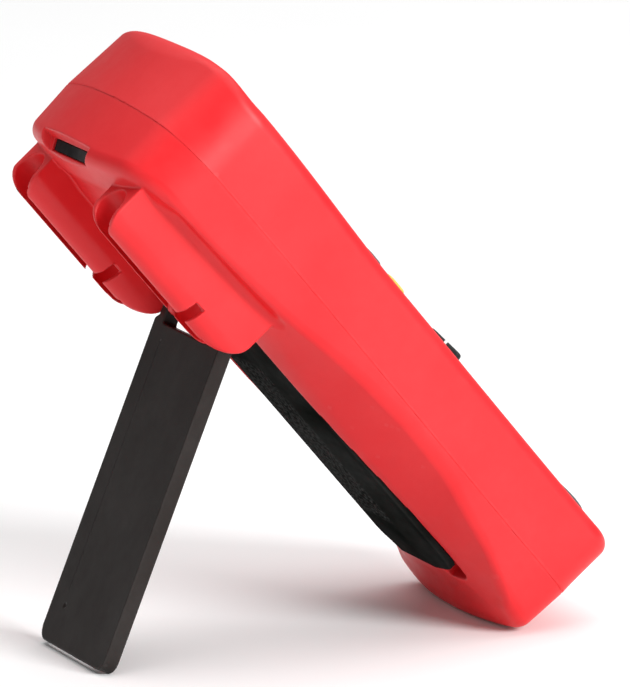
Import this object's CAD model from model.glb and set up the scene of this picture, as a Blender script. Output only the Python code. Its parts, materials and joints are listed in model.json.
"""Looks of the handheld multimeter: moulded pieces, materials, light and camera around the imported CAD."""
import json
import math

import bpy
import numpy as np
from mathutils import Euler, Matrix, Vector


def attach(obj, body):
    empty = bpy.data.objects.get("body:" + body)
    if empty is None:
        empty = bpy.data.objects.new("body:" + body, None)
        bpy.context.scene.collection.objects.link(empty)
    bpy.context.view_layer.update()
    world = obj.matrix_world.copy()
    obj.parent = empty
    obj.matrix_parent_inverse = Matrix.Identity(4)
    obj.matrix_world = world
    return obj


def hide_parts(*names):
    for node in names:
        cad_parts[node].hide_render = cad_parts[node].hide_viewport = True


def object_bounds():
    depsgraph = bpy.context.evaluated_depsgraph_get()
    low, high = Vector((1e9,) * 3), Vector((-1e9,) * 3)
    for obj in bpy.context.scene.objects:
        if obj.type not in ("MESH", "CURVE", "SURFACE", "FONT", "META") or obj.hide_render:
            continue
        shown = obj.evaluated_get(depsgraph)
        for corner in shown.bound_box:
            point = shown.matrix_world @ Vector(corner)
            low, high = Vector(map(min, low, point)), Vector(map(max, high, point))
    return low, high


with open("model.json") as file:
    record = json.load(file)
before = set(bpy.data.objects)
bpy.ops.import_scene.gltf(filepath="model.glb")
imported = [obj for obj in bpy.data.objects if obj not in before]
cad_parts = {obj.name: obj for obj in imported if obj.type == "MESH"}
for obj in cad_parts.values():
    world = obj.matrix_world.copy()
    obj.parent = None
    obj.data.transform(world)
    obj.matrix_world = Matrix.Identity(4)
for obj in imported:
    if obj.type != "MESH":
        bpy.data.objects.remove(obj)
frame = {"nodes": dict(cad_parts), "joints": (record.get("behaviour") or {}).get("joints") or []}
CAD_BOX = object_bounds()
NODES = frame["nodes"]
MM = 0.001

# ---- the meter's own frame, found from its joints ----------------------------------------
JOINTS = {joint["name"]: joint for joint in frame["joints"]}
HINGE = Vector((0.0, 114.5, -4.5))              # stand hinge in the meter's frame, mm
STAND_OPEN = -JOINTS["stand_fold"]["range_deg"][0]
FORWARD = Vector(JOINTS["selector_turn"]["axis"])
LEAN = math.atan2(-FORWARD.y, FORWARD.z)
TURN = Matrix.Rotation(LEAN, 4, "X")
ORIGIN = Vector(JOINTS["stand_fold"]["pos_m"]) - (TURN @ HINGE) * MM
METER = Matrix.Translation(ORIGIN) @ TURN @ Matrix.Scale(MM, 4)
STAND = METER @ Matrix.Translation(HINGE) @ Matrix.Rotation(math.radians(STAND_OPEN), 4, "X")

KNOB_Y, KNOB_POINT = 59.0, math.radians(150.0)
KEYS = {"button_select": (-22.0, 94.0), "button_hold": (22.0, 94.0), "button_range": (-22.0, 104.1),
        "button_relative": (-7.4, 104.1), "button_peak": (7.4, 104.1), "button_light": (22.0, 104.1)}
KEY_TOP = 34.3
CASE_END = 177.0                                # the display end; the input end is at 0
INPUT_HALF, DISPLAY_EXTRA = 35.2, 5.5           # half width at the input end, and what it grows by
SEAM, SEAM_GAP = 13.62, 0.04                    # parting line of the case halves, and half its gap
WALL = 2.4
HOLLOW_DEPTH = 4.0
PANEL_TOP, BEZEL_TOP = 31.5, 33.3
MARK_HALF = 0.11                                # half the thickness of a printed mark
CLIP_X, CLIP_BORE_Z, CLIP_BORE = 26.45, -9.25, 5.55
STAND_LENGTH, STAND_HALF, NECK_HALF = 92.4, 20.5, 18.6
JACKS = {"jack_high_current": -23.4, "jack_low_current": -7.8, "jack_common": 7.8, "jack_volts": 23.4}
JACK_Y = 17.5
SCREWS = ((-14.0, 29.5), (14.0, 29.5), (-7.5, 113.5), (7.5, 113.5))
COVER_SCREW = (0.0, 101.5)


# ---- distance fields: negative inside, in mm ---------------------------------------------
def ramp(value, start, end):
    t = np.clip((value - start) / (end - start), 0.0, 1.0)
    return t * t * (3 - 2 * t)


def meet(a, b, r):
    """Where both are inside, with the edge between them rounded to radius r."""
    return np.minimum(np.maximum(a, b), -r) + np.hypot(np.maximum(a + r, 0), np.maximum(b + r, 0))


def blend(a, b, r):
    """Where either is inside, with a hollow fillet of radius r between them."""
    return np.maximum(np.minimum(a, b), r) - np.hypot(np.maximum(r - a, 0), np.maximum(r - b, 0))


def carve(a, tool, r):
    return meet(a, -tool, r)


def plate(x, y, half_x, half_y, r):
    return meet(np.abs(x) - half_x, np.abs(y) - half_y, r)


def half_width(y):
    return INPUT_HALF + DISPLAY_EXTRA * ramp(y, 0.0, 135.0)


def outline(x, y):
    """The case seen from its face: straight tapering sides, an arched display end, round corners."""
    side = np.abs(x) - half_width(y)
    arch = (y - CASE_END + 0.0048 * x * x) / np.sqrt(1 + (0.0096 * x) ** 2)
    return meet(meet(side, arch, 12.5), 0.7 - y, 8.0)


def trimmed(form, y, z):
    """The form with its outermost corners taken down to the overall box: floor, top and front."""
    up = y * math.sin(LEAN) + z * math.cos(LEAN) + ORIGIN.z / MM
    back = y * math.cos(LEAN) - z * math.sin(LEAN) + ORIGIN.y / MM
    form = meet(form, 0.05 - up, 1.2)
    form = meet(form, up - CAD_BOX[1][2] / MM + 0.05, 2.0)
    return meet(form, CAD_BOX[0][1] / MM + 0.05 - back, 1.0)


def back_height(x, y):
    between = ramp(y, 108.0, 118.0)
    chin = ramp(y, 4.0, 24.0)
    beside = (2.4 + 1.7 * ramp(y, 10.0, 95.0)) * chin * (1 - between)
    return 0.0033 * np.minimum(np.abs(x), 38.0) ** 2 - 4.3 * (1 - chin) - beside - 4.8 * between


def smoothed(points, spread=2.5):
    """A table along Y through the points (y, value), with its corners softened."""
    steps = np.arange(-20.0, 200.0, 0.5)
    values = np.interp(steps, *np.array(points).T)
    weights = np.exp(-0.5 * (np.arange(-20, 21) * 0.5 / spread) ** 2)
    soft = np.convolve(np.pad(values, 20, mode="edge"), weights / weights.sum(), mode="valid")
    return lambda y: np.interp(y, steps, soft)


GRIP_TOP = smoothed(((10, -0.6), (17.4, 2.0), (26.4, 5.1), (38.3, 7.0), (50.7, 9.3), (69.5, 9.7), (88.2, 8.3),
                     (100, 6.6), (108, 5.1), (115, 4.2), (130, 2.5), (150, 0.5), (165, -1.0)))


def grip(x, y, z):
    """The finger scoop: a slope from a line on the side wall to the back, 17 mm in."""
    inset = 17.0
    floor = back_height(half_width(y) - inset, y) - 0.5
    top = np.maximum(GRIP_TOP(y), floor + 0.4)
    fall, run = floor - top, inset - 1.0
    away = 5.0 * (1 - ramp(y, 3.0, 14.0) * (1 - ramp(y, 158.0, 168.0)))
    return ((-outline(x, y) - 1.0) * fall - (z - top) * run) / np.hypot(fall, run) - away


def bed(x, y):
    """Plan of the stand's bed in the back."""
    half = 21.2 - 2.4 * ramp(y, 109.6, 111.4)
    return meet(meet(np.abs(x) - half, 21.5 - y, 6.0), y - 120.0, 1.0)


def hollows(x, y):
    """Plan of the two finger hollows under the stand's foot corners."""
    return meet(np.abs(np.abs(x) - 16.6) - 4.6, np.abs(y - 23.0) - 4.5, 1.6)


def port_plane(y, z):
    """Distance out from the slanting wall behind the data port, and down along that wall."""
    dy, dz = y - 172.6, z + 1.0
    return 0.85 * dy - 0.527 * dz, -(0.527 * dy + 0.85 * dz)


def clips(x, y, z):
    """Two channels that each hold a round test probe: a slit at the back, a notch, round ends."""
    u = np.abs(x) - CLIP_X
    form = np.maximum(meet(np.abs(u) - 7.35, -14.4 - z, 5.5), z - 3.0)
    mouth = (np.hypot(np.maximum((y - 157.5) / 8.0, 0), np.maximum((-9.0 - z) / 6.0, 0)) - 1) * 7.0
    toe = (np.hypot(np.maximum((126.6 - y) / 13.0, 0), np.maximum((-6.5 - z) / 8.2, 0)) - 1) * 9.0
    form = meet(meet(form, mouth, 0.35), toe, 0.7)
    form = carve(form, np.hypot(u, z - CLIP_BORE_Z) - CLIP_BORE, 0.4)
    form = carve(form, np.maximum(np.abs(u - 0.15) - 2.3, z + 11.0), 0.4)
    return carve(form, np.maximum(np.abs(y - 131.35) - 1.55, z + 9.4), 0.2)


def rear_shell(x, y, z, cut=True):
    edge = outline(x, y)
    back = back_height(x, y)
    scoop = grip(x, y, z)
    rim = edge + 0.065 * (13.65 - z)
    form = meet(meet(rim, back - z, 3.5), scoop, 1.8)
    near = y > 108.0
    if np.any(near):
        xs, ys, zs = (np.broadcast_to(v, form.shape)[near] for v in (x, y, z))
        fold = np.hypot(np.abs(xs) - 35.9, zs + 1.2 - 0.03 * (165.0 - ys)) - 2.4
        fold = fold + 3.0 * (ramp(ys, 152.0, 166.0) + 1 - ramp(ys, 108.0, 114.0))
        hull = carve(form[near], fold, 1.5)
        form[near] = blend(hull, clips(xs, ys, zs), 0.5 + 0.5 * (1 - ramp(ys, 156.0, 164.0)))
    form = carve(form, meet(bed(x, y), z - 0.2, 0.3), 0.5)
    form = carve(form, meet(hollows(x, y), z - HOLLOW_DEPTH, 0.3), 0.5)
    ear = np.maximum(np.abs(np.abs(x) - 12.8) - 1.6,
                     np.minimum(np.hypot(y - HINGE.y, z - HINGE.z) - 3.3,
                                np.maximum(np.abs(y - HINGE.y) - 3.3, np.abs(z + 1.5) - 3.0)))
    form = blend(form, ear + 0.05, 0.6)
    pin = np.maximum(np.hypot(y - HINGE.y, z - HINGE.z) - 1.85, np.abs(np.abs(x) - 13.9) - 1.5)
    form = carve(form, pin, 0.25)
    out, down = port_plane(y, z)
    port = meet(meet((np.abs(x) - 12.3 - 0.7 * (y - 171.5)) * 0.82, -out, 0.25), z + 1.0, 0.25)
    form = carve(form, port, 0.45)
    form = carve(form, np.maximum(meet(np.abs(x) - 11.1, np.abs(down - 1.8) - 1.6, 0.3), -1.6 - out), 0.15)
    hidden = 1 - ramp(y, 121.0, 125.0)
    floor = np.maximum(back + WALL, 1.8 * hidden + (back + WALL) * (1 - hidden))
    floor = floor + HOLLOW_DEPTH * (1 - ramp(y, 29.0, 33.0))
    room = np.maximum(np.maximum(rim + WALL, floor - z), scoop + WALL)
    room = np.maximum(room, -np.maximum(np.maximum(np.abs(x) - 17.0, 166.5 - y), z - 1.4))
    if np.any(near):
        room[near] = np.maximum(room[near], 2.0 - fold)
    for sx, sy in SCREWS:
        away = np.hypot(x - sx, y - sy)
        room = np.maximum(room, 3.5 - away)
        form = carve(form, np.maximum(away - 2.95, z - 3.2), 0.3)
    form = carve(form, room, 0.4)
    form = trimmed(form, y, z)
    return np.maximum(form, z - (SEAM - SEAM_GAP)) if cut else form


def front_shell(x, y, z, cut=True):
    edge = outline(x, y)
    height = 31.8 + 2.0 * ramp(y, 98.0, 158.0) + 2.7 * ramp(y, 160.0, 177.0)
    climb = ramp(z, 13.0, 34.0)
    rim = edge + 0.045 * (z - 13.85) - 0.9 * climb * (1 - ramp(y, 0.7, 12.0))
    form = meet(rim, z - height, 3.6)
    form = carve(form, meet(edge + 7.0, 29.3 - z, 0.3), 0.6)
    form = carve(form, meet(edge + WALL, z - 27.0, 1.0), 0.4)
    form = carve(form, edge + 10.4, 0.3)
    for jx in JACKS.values():
        form = carve(form, np.maximum(np.hypot(x - jx, y - JACK_Y) - 6.4, np.abs(z - 28.0) - 3.0), 0.2)
    form = trimmed(form, y, z)
    return np.maximum(form, SEAM + SEAM_GAP - z) if cut else form


def face_panel(x, y, z):
    form = meet(outline(x, y) + 7.3, np.abs(z - 30.55) - 0.95, 0.3)
    bezel = meet(plate(x, y - 137.95, 29.6, 25.05, 4.0) + 0.2 * (z - PANEL_TOP), z - BEZEL_TOP, 0.6)
    form = blend(form, np.maximum(bezel, 30.5 - z), 0.6)
    opening = plate(x, y - 139.0, 27.0, 20.0, 2.0)
    form = carve(form, opening, 0.3)
    form = carve(form, np.maximum(opening - 1.1 + 0.9 * (BEZEL_TOP - z), 31.0 - z), 0.3)
    dial = np.hypot(x, y - KNOB_Y)
    ring = np.hypot(dial - 19.2, z - 31.3) - 0.65
    form = blend(form, ring, 0.4)
    form = carve(form, dial - 6.4, 0.3)
    for kx, ky in KEYS.values():
        form = carve(form, plate(x - kx, y - ky, 5.3, 3.8, 1.5), 0.35)
    for jx in JACKS.values():
        away = np.hypot(x - jx, y - JACK_Y)
        form = blend(form, meet(away - 6.9, np.abs(z - 31.4) - 1.2, 0.7), 0.5)
        form = carve(form, away - 4.9, 0.6)
    return form


def cover_plate(x, y, z):
    land = np.interp(y, (15.0, 31.0, 91.0, 107.5), (-2.4, -3.9, -3.9, -3.0))
    height = -2.1 + (land + 2.1) * np.clip((16.7 - np.abs(x)) / 6.5, 0.0, 1.0)
    half = 21.2 - 0.35
    plan = meet(meet(np.abs(x) - half, 21.85 - y, 5.6), y - 107.5, 0.8)
    form = meet(meet(plan, (height - z) * 0.96, 0.45), z + 0.1, 0.1)
    away = np.hypot(x - COVER_SCREW[0], y - COVER_SCREW[1])
    form = carve(form, np.maximum(away - 2.7, z + 2.2), 0.35)
    return carve(form, away - 1.5, 0.2)


def stand_frame(x, y, z):
    """Folded flat, hinge on the X axis, pointing down -Y, its outer face towards -Z."""
    side = np.abs(x) - (NECK_HALF + (STAND_HALF - NECK_HALF) * ramp(-y, 3.9, 5.6))
    plan = meet(meet(side, -y - STAND_LENGTH, 3.6), y - 0.3, 0.5)
    form = meet(plan, np.abs(z) - 2.07, 0.35)
    cavity = meet(plate(x, y + 48.5, NECK_HALF, 41.9, 3.4), -0.275 - z, 0.4)
    form = carve(form, cavity, 0.35)
    window = meet(np.abs(x) - 15.0, -5.9 - y, 0.8)
    form = carve(form, window, 0.35)
    form = carve(form, np.maximum(np.maximum(np.abs(x) - 16.8, y + 85.4), 0.2 - z), 0.3)
    knuckle = np.maximum(np.hypot(y, z) - 2.04, np.abs(np.abs(x) - 16.85) - 1.7)
    form = blend(form, knuckle, 0.3)
    form = np.minimum(form, np.maximum(np.hypot(y, z) - 1.5, np.abs(np.abs(x) - 14.1) - 1.5))
    groove = np.hypot(x - 12.7, z + 2.17) - 0.2
    form = carve(form, np.maximum(groove, np.abs(y + 44.0) - 34.0), 0.05)
    dimple = np.sqrt((x - 12.1) ** 2 + (y + 82.0) ** 2 + (z + 2.35) ** 2) - 0.75
    return carve(form, dimple, 0.15)


def on_knob(x, y):
    """Distance along the knob's bar from its centre, and across it."""
    cos, sin = math.cos(KNOB_POINT), math.sin(KNOB_POINT)
    return x * cos + (y - KNOB_Y) * sin, (y - KNOB_Y) * cos - x * sin


def knob(x, y, z):
    along, across = on_knob(x, y)
    radius = np.hypot(along, across)
    around = np.arctan2(across, along)
    beside_bar = ramp(np.abs(around), 0.3, 0.6) * ramp(math.pi - np.abs(around), 0.3, 0.6)
    flutes = 0.28 * np.cos(around * 40) * beside_bar
    form = meet(radius - 17.2 + flutes, np.abs(z - 32.5) - 0.6, 0.35)
    waist = 5.55 - 0.9 * ramp(radius, 2.0, 9.0) * (1 - ramp(radius, 9.0, 13.5)) - 0.05 * (z - 32.5)
    bar = meet(meet(np.abs(along) - 15.45, np.abs(across) - waist, 1.4), z - 36.9, 0.45)
    form = blend(form, np.maximum(bar, 32.0 - z), 0.7)
    shaft = np.maximum(np.hypot(x, y - KNOB_Y) - 6.0, np.abs(z - 29.6) - 2.9)
    return np.minimum(form, shaft)


def key(x, y, z, kx, ky):
    crown = z - (KEY_TOP - 0.006 * (x - kx) ** 2 - 0.008 * (y - ky) ** 2)
    form = meet(plate(x - kx, y - ky, 4.95, 3.45, 1.6), crown, 0.6)
    form = np.maximum(form, 25.4 - z)
    waist = np.maximum(-(plate(x - kx, y - ky, 4.1, 2.6, 1.2)), np.abs(z - 27.0) - 0.8)
    return carve(form, waist, 0.2)


def port_glass(x, y, z):
    out, down = port_plane(y, z)
    return meet(meet(np.abs(x) - 10.95, np.abs(down - 1.8) - 1.45, 0.3), np.abs(out + 1.05) - 0.5, 0.15)


def index_mark(x, y, z):
    """White line inlaid along the knob's bar and down its pointing end."""
    along, across = on_knob(x, y)
    stripe = np.maximum(np.maximum(np.abs(across) - 0.42, 8.0 - along), 33.6 - z)
    return np.maximum(np.abs(knob(x, y, z)) - MARK_HALF, stripe)


def dial_marks(x, y, z):
    """Short strokes printed around the dial, one for each detent."""
    away, around = np.hypot(x, y - KNOB_Y), np.arctan2(y - KNOB_Y, x)
    pitch = math.radians(30.0)
    off = (np.mod(around + pitch / 2, pitch) - pitch / 2) * away
    stroke = np.maximum(np.abs(off) - 0.3, np.abs(away - 22.4) - 1.3)
    return np.maximum(stroke, np.abs(z - PANEL_TOP) - MARK_HALF)


# ---- turning a field into a mesh ----------------------------------------------------------
GRID_SHIFT = (0.137, 0.281, 0.419)     # keeps flat faces and grid points apart


def surface(field, low, high, step, shade=None):
    """Mesh of the zero level: one vertex per crossed cell, pulled onto the surface and evened out."""
    low, high = np.array(low, float) - step * np.array(GRID_SHIFT), np.array(high, float)
    counts = np.ceil((high - low) / step).astype(int) + 1
    axes = [low[k] + step * np.arange(counts[k]) for k in range(3)]
    x, y, z = axes[0][:, None, None], axes[1][None, :, None], axes[2][None, None, :]
    x, y, z = (np.array(np.broadcast_to(v, counts)) for v in (x, y, z))
    values = np.array(field(x, y, z))
    for axis in range(3):
        edge = [slice(None)] * 3
        for at in (0, -1):
            edge[axis] = at
            values[tuple(edge)] = np.maximum(values[tuple(edge)], 0.01 * step)
    inside = values < 0
    cells, places, quads = [], [], []
    span = counts - 1
    weight = np.array((span[1] * span[2], span[2], 1))
    for axis in range(3):
        here = [slice(None)] * 3
        there = [slice(None)] * 3
        here[axis], there[axis] = slice(0, -1), slice(1, None)
        at = np.argwhere(inside[tuple(here)] != inside[tuple(there)])
        one = values[tuple(here)][tuple(at.T)]
        two = values[tuple(there)][tuple(at.T)]
        place = at.astype(float)
        place[:, axis] += one / (one - two)
        b, c = (axis + 1) % 3, (axis + 2) % 3
        keep = (at[:, b] > 0) & (at[:, c] > 0) & (at[:, b] < span[b]) & (at[:, c] < span[c])
        at, place, one = at[keep], place[keep], one[keep]
        corners = []
        for db, dc in ((1, 1), (0, 1), (0, 0), (1, 0)):
            cell = at.copy()
            cell[:, b] -= db
            cell[:, c] -= dc
            corners.append(cell @ weight)
        corners = np.stack(corners, 1)
        corners[one > 0] = corners[one > 0][:, ::-1]
        quads.append(corners)
        cells.append(corners.ravel())
        places.append(np.repeat(place, 4, axis=0))
    cells, places, quads = np.concatenate(cells), np.concatenate(places), np.concatenate(quads)
    used, index = np.unique(cells, return_inverse=True)
    total = np.bincount(index)
    points = np.stack([np.bincount(index, places[:, k]) / total for k in range(3)], 1) * step + low
    quads = np.searchsorted(used, quads)

    def gradient(p, reach=0.02, of=field):
        slopes = []
        for k in range(3):
            shift = np.zeros(3)
            shift[k] = reach
            slopes.append(of(*(p + shift).T) - of(*(p - shift).T))
        return np.stack(slopes, 1) / (2 * reach)

    def onto(p, times=2):
        for _ in range(times):
            slope = gradient(p)
            size = np.maximum((slope ** 2).sum(1), 0.2)
            move = slope * (field(*p.T) / size)[:, None]
            length = np.linalg.norm(move, axis=1, keepdims=True)
            p = p - move * np.minimum(1.0, 0.5 * step / np.maximum(length, 1e-9))
        return p

    points = onto(points)
    pairs = np.concatenate([quads[:, [k, (k + 1) % 4]] for k in range(4)])
    for _ in range(3):
        middle = np.stack([np.bincount(pairs[:, 0], points[pairs[:, 1], k], len(points))
                           for k in range(3)], 1)
        middle /= np.maximum(np.bincount(pairs[:, 0], minlength=len(points)), 1)[:, None]
        slope = gradient(points)
        slope /= np.maximum(np.linalg.norm(slope, axis=1, keepdims=True), 1e-9)
        drift = middle - points
        points = onto(points + 0.5 * (drift - slope * (drift * slope).sum(1, keepdims=True)), 1)
    slope = gradient(points, 0.05, shade or field)
    return points, quads, slope / np.maximum(np.linalg.norm(slope, axis=1, keepdims=True), 1e-9)


def moulded(name, field, low, high, step, slot, body, nodes=(), placing=METER, look=None, mask=None,
            shade=None):
    """Make a piece from a field, put it in place and let it stand for its CAD nodes."""
    points, quads, normals = surface(field, low, high, step, shade)
    mesh = bpy.data.meshes.new(name)
    mesh.vertices.add(len(points))
    mesh.loops.add(quads.size)
    mesh.polygons.add(len(quads))
    matrix = np.array(placing)
    mesh.vertices.foreach_set("co", (points @ matrix[:3, :3].T + matrix[:3, 3]).astype(np.float32).ravel())
    mesh.loops.foreach_set("vertex_index", quads.astype(np.int32).ravel())
    mesh.polygons.foreach_set("loop_start", np.arange(0, quads.size, 4, dtype=np.int32))
    mesh.update(calc_edges=True)
    mesh.polygons.foreach_set("use_smooth", np.ones(len(quads), bool))
    turned = normals @ (matrix[:3, :3] / MM).T
    mesh.normals_split_custom_set_from_vertices(turned.astype(np.float32).tolist())
    if mask is not None:
        attribute = mesh.attributes.new("texture_mask", "FLOAT", "POINT")
        attribute.data.foreach_set("value", mask(*points.T).astype(np.float32))
    mesh.materials.append(MATERIALS[look or slot])
    piece = bpy.data.objects.new(name, mesh)
    bpy.context.scene.collection.objects.link(piece)
    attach(piece, body)
    if nodes:
        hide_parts(*nodes)


# ---- materials ------------------------------------------------------------------------------
class Nodes:
    """A material under construction, with short ways to add and join nodes."""

    def __init__(self, name):
        self.material = bpy.data.materials.new("look_" + name)
        self.material.use_nodes = True
        self.tree = self.material.node_tree
        self.shader = self.tree.nodes["Principled BSDF"]
        self.place = self.tree.nodes.new("ShaderNodeTexCoord").outputs["Object"]

    def add(self, kind, **settings):
        node = self.tree.nodes.new("ShaderNode" + kind)
        for key_name, value in settings.items():
            if hasattr(node, key_name):
                setattr(node, key_name, value)
            else:
                node.inputs[key_name].default_value = value
        return node

    def join(self, out, into):
        self.tree.links.new(out, into)

    def noise(self, scale, detail=3.0):
        node = self.add("TexNoise", Scale=scale, Detail=detail, Roughness=0.55)
        self.join(self.place, node.inputs["Vector"])
        return node.outputs["Fac"]

    def range(self, value, low, high, to_low, to_high):
        node = self.add("MapRange")
        self.join(value, node.inputs["Value"])
        sockets = ("From Min", "From Max", "To Min", "To Max")
        for slot_name, number in zip(sockets, (low, high, to_low, to_high)):
            node.inputs[slot_name].default_value = number
        return node.outputs["Result"]

    def mix(self, share, one, two):
        node = self.add("Mix", data_type="RGBA")
        for value, socket in ((one, node.inputs[6]), (two, node.inputs[7])):
            if isinstance(value, tuple):
                socket.default_value = (*value, 1.0)
            else:
                self.join(value, socket)
        self.join(share, node.inputs[0])
        return node.outputs[2]

    def times(self, one, two):
        node = self.add("Math", operation="MULTIPLY")
        self.join(one, node.inputs[0])
        self.join(two, node.inputs[1])
        return node.outputs[0]

    def bump(self, height, strength, distance, after=None):
        node = self.add("Bump", Strength=strength, Distance=distance)
        self.join(height, node.inputs["Height"])
        if after:
            self.join(after, node.inputs["Normal"])
        return node.outputs["Normal"]


def darker(colour, share):
    return tuple(c * share for c in colour)


def lighter(colour, share):
    return tuple(c + (1 - c) * share for c in colour)


def surface_look(name, colour, roughness, grain=2600.0, depth=0.00002, metal=0.0, wear=0.12, coat=0.0,
                 patches=0.10, specular=0.5, stipple=0.0):
    """Moulded plastic, rubber or metal: fine grain, soft patches of tint and gloss, worn edges."""
    look = Nodes(name)
    shader = look.shader
    broad = look.noise(45.0, 4.0)
    fine = look.noise(420.0, 3.0)
    tint = look.mix(look.range(broad, 0.3, 0.7, 0.0, 1.0), darker(colour, 1 - patches),
                    lighter(colour, patches * 0.25))
    specks = look.mix(look.range(fine, 0.35, 0.75, 0.0, 0.35), tint, darker(colour, 1 - patches * 1.2))
    edge = look.range(look.add("NewGeometry").outputs["Pointiness"], 0.515, 0.56, 0.0, wear)
    scuffed = look.times(edge, look.range(fine, 0.4, 0.6, 0.3, 1.0))
    tone = look.mix(scuffed, specks, lighter(colour, 0.35))
    look.join(look.range(look.noise(160.0, 4.0), 0.3, 0.7, roughness - 0.05, roughness + 0.06),
              shader.inputs["Roughness"])
    cells = look.add("TexVoronoi", feature="F1", Scale=grain)
    look.join(look.place, cells.inputs["Vector"])
    normal = look.bump(cells.outputs["Distance"], 0.35, depth)
    normal = look.bump(look.noise(grain * 0.4, 2.0), 0.3, depth * 1.4, normal)
    if stipple:
        mask = look.add("Attribute", attribute_name="texture_mask").outputs["Fac"]
        dots = look.add("TexVoronoi", feature="SMOOTH_F1", Scale=1150.0)
        look.join(look.place, dots.inputs["Vector"])
        raised = look.times(look.range(dots.outputs["Distance"], 0.15, 0.6, 1.0, 0.0), mask)
        normal = look.bump(raised, stipple, 0.00016, normal)
        tone = look.mix(raised, tone, lighter(colour, 0.05))
    look.join(tone, shader.inputs["Base Color"])
    look.join(normal, shader.inputs["Normal"])
    shader.inputs["Metallic"].default_value = metal
    shader.inputs["Specular IOR Level"].default_value = specular
    shader.inputs["Coat Weight"].default_value = coat
    shader.inputs["Coat Roughness"].default_value = 0.25
    return look.material


def glass_look(name, colour, roughness):
    look = Nodes(name)
    shader = look.shader
    look.join(look.mix(look.range(look.noise(60.0), 0.3, 0.7, 0.0, 1.0), colour, darker(colour, 0.94)),
              shader.inputs["Base Color"])
    look.join(look.range(look.noise(700.0), 0.45, 0.8, roughness, roughness + 0.08),
              shader.inputs["Roughness"])
    look.join(look.bump(look.noise(220.0, 2.0), 0.08, 0.00002), shader.inputs["Normal"])
    shader.inputs["Transmission Weight"].default_value = 0.92
    shader.inputs["IOR"].default_value = 1.2
    return look.material


RED = (0.74, 0.011, 0.016)
MATERIALS = {
    "red_case": surface_look("red_case", RED, 0.42, depth=0.000014, patches=0.04, wear=0.06, specular=0.35),
    "black_plastic": surface_look("black_plastic", (0.008, 0.009, 0.009), 0.45, wear=0.03, patches=0.1,
                                  specular=0.2),
    "cover_plastic": surface_look("cover_plastic", (0.0055, 0.0065, 0.0055), 0.7, wear=0.02, patches=0.1,
                                  stipple=0.9, specular=0.0),
    "stand_plastic": surface_look("stand_plastic", (0.018, 0.0135, 0.012), 0.4, wear=0.04, patches=0.05,
                                  specular=0.12),
    "panel_grey": surface_look("panel_grey", (0.045, 0.05, 0.056), 0.5, patches=0.14),
    "yellow_key": surface_look("yellow_key", (0.80, 0.45, 0.05), 0.6, grain=1800.0, patches=0.08),
    "grey_key": surface_look("grey_key", (0.07, 0.075, 0.082), 0.62, grain=1800.0, patches=0.14),
    "clear_lens": glass_look("clear_lens", (0.9, 0.94, 0.94), 0.05),
    "board_green": surface_look("board_green", (0.015, 0.13, 0.05), 0.35, grain=900.0, coat=0.3),
    "lcd_grey": surface_look("lcd_grey", (0.30, 0.35, 0.27), 0.25, depth=0.000004, wear=0.0, patches=0.05),
    "white_plastic": surface_look("white_plastic", (0.75, 0.75, 0.72), 0.5, patches=0.05),
    "brass": surface_look("brass", (0.75, 0.55, 0.24), 0.28, grain=1500.0, metal=1.0, patches=0.15),
    "steel": surface_look("steel", (0.50, 0.50, 0.52), 0.32, grain=1500.0, metal=1.0, patches=0.15),
    "chip_black": surface_look("chip_black", (0.02, 0.02, 0.02), 0.42),
    "ceramic": surface_look("ceramic", (0.80, 0.78, 0.72), 0.3, patches=0.05),
    "rubber_grey": surface_look("rubber_grey", (0.18, 0.18, 0.18), 0.8, grain=1300.0),
    "component_blue": surface_look("component_blue", (0.03, 0.10, 0.42), 0.35),
    "component_yellow": surface_look("component_yellow", (0.62, 0.45, 0.08), 0.35),
    "battery_jacket": surface_look("battery_jacket", (0.06, 0.08, 0.24), 0.3, coat=0.4),
    "infrared_window": surface_look("infrared_window", (0.002, 0.001, 0.002), 0.2, depth=0.000003, patches=0.3,
                                    wear=0.0, specular=0.02),
}


def dress_cad_nodes():
    for node in NODES.values():
        for holder in node.material_slots:
            name = holder.material.name.split(".")[0] if holder.material else ""
            holder.material = MATERIALS.get(name, MATERIALS["chip_black"])


def cover_mask(x, y, z):
    return ((1 - ramp(np.abs(x), 9.0, 11.0)) * ramp(y, 38.0, 41.0) * (1 - ramp(y, 95.0, 98.0))
            * (1 - ramp(z, -2.6, -2.4)))


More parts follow.
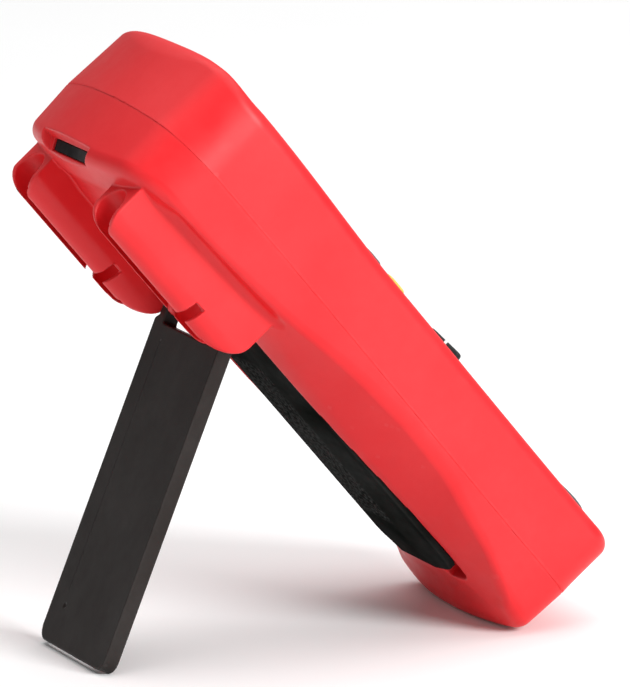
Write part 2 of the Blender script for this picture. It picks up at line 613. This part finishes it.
def build_pieces():
    moulded("rear_shell", rear_shell, (-42.1, -1.2, -16.3), (42.1, 178.6, 14.7), 0.48, "red_case", "case",
            ("rear_case", "probe_clip_left", "probe_clip_right"),
            shade=lambda x, y, z: rear_shell(x, y, z, cut=False))
    moulded("front_shell", front_shell, (-42.1, -2.2, 12.6), (42.1, 178.6, 37.6), 0.52, "red_case", "case",
            ("front_case",), shade=lambda x, y, z: front_shell(x, y, z, cut=False))
    moulded("face_panel", face_panel, (-35.0, 6.0, 28.7), (35.0, 171.0, 34.4), 0.42, "panel_grey", "case",
            ("front_panel",))
    moulded("cover_plate", cover_plate, (-22.0, 20.8, -5.0), (22.0, 108.6, 0.8), 0.4, "black_plastic", "case",
            ("battery_cover",), look="cover_plastic", mask=cover_mask)
    moulded("stand_frame", stand_frame, (-21.3, -93.3, -3.0), (21.3, 3.0, 3.0), 0.36, "stand_plastic",
            "stand", ("tilt_stand",), placing=STAND)
    moulded("knob", knob, (-18.6, KNOB_Y - 18.6, 26.0), (18.6, KNOB_Y + 18.6, 37.6), 0.38, "black_plastic",
            "selector", ("selector_knob",))
    moulded("index_mark", index_mark, (-16.4, KNOB_Y + 2.5, 33.2), (-5.5, KNOB_Y + 9.5, 37.4), 0.14,
            "white_plastic", "selector")
    moulded("dial_marks", dial_marks, (-24.2, KNOB_Y - 24.2, 31.1), (24.2, KNOB_Y + 24.2, 31.9), 0.2,
            "white_plastic", "case")
    for name, (kx, ky) in KEYS.items():
        moulded(name.replace("button", "key"), lambda x, y, z, kx=kx, ky=ky: key(x, y, z, kx, ky),
                (kx - 6.0, ky - 4.6, 24.6), (kx + 6.0, ky + 4.6, 35.1), 0.36,
                "yellow_key" if name == "button_select" else "grey_key", name + "_key", (name,))
    moulded("port_glass", port_glass, (-12.0, 168.8, -4.6), (12.0, 173.2, -0.2), 0.22, "infrared_window",
            "case", ("port_window",))


# ---- camera, light, floor -------------------------------------------------------------------
def set_camera():
    data = bpy.data.cameras.new("camera")
    data.lens = 486.2
    data.sensor_width = 36.0
    data.clip_end = 20.0
    camera = bpy.data.objects.new("camera", data)
    camera.location = (-2.109142, 0.930016, 0.590233)
    camera.rotation_euler = Euler([math.radians(a) for a in (77.38814, 1.18314, -114.09693)])
    bpy.context.scene.collection.objects.link(camera)
    bpy.context.scene.camera = camera


def area_light(name, place, target, size, power):
    data = bpy.data.lights.new(name, "AREA")
    data.shape = "DISK"
    data.size = size
    data.energy = power
    lamp = bpy.data.objects.new(name, data)
    lamp.location = place
    lamp.rotation_euler = (Vector(target) - Vector(place)).to_track_quat("-Z", "Y").to_euler()
    bpy.context.scene.collection.objects.link(lamp)


def set_stage():
    bpy.context.scene.view_settings.view_transform = "Standard"
    world = bpy.data.worlds.new("studio")
    world.use_nodes = True
    background = world.node_tree.nodes["Background"]
    background.inputs["Color"].default_value = (1.0, 1.0, 1.0, 1.0)
    background.inputs["Strength"].default_value = 0.28
    bpy.context.scene.world = world
    mesh = bpy.data.meshes.new("floor")
    reach = 6.0
    corners = [(-reach, -reach, 0), (reach, -reach, 0), (reach, reach, 0), (-reach, reach, 0)]
    mesh.from_pydata(corners, [], [(0, 1, 2, 3)])
    look = Nodes("floor")
    cloud = look.range(look.noise(3.0), 0.3, 0.7, 0.0, 1.0)
    look.join(look.mix(cloud, (0.93, 0.93, 0.93), (0.96, 0.96, 0.96)),
              look.shader.inputs["Base Color"])
    look.shader.inputs["Roughness"].default_value = 0.9
    mesh.materials.append(look.material)
    floor = bpy.data.objects.new("floor", mesh)
    bpy.context.scene.collection.objects.link(floor)
    area_light("key_light", (-1.5, -0.6, 0.85), (0, 0, 0.08), 0.8, 34)
    area_light("back_light", (-0.6, 1.5, 0.9), (0, 0, 0.08), 0.7, 1.5)
    area_light("top_light", (0.3, -0.3, 2.0), (0, 0, 0.0), 3.2, 40)


dress_cad_nodes()
build_pieces()
set_camera()
set_stage()
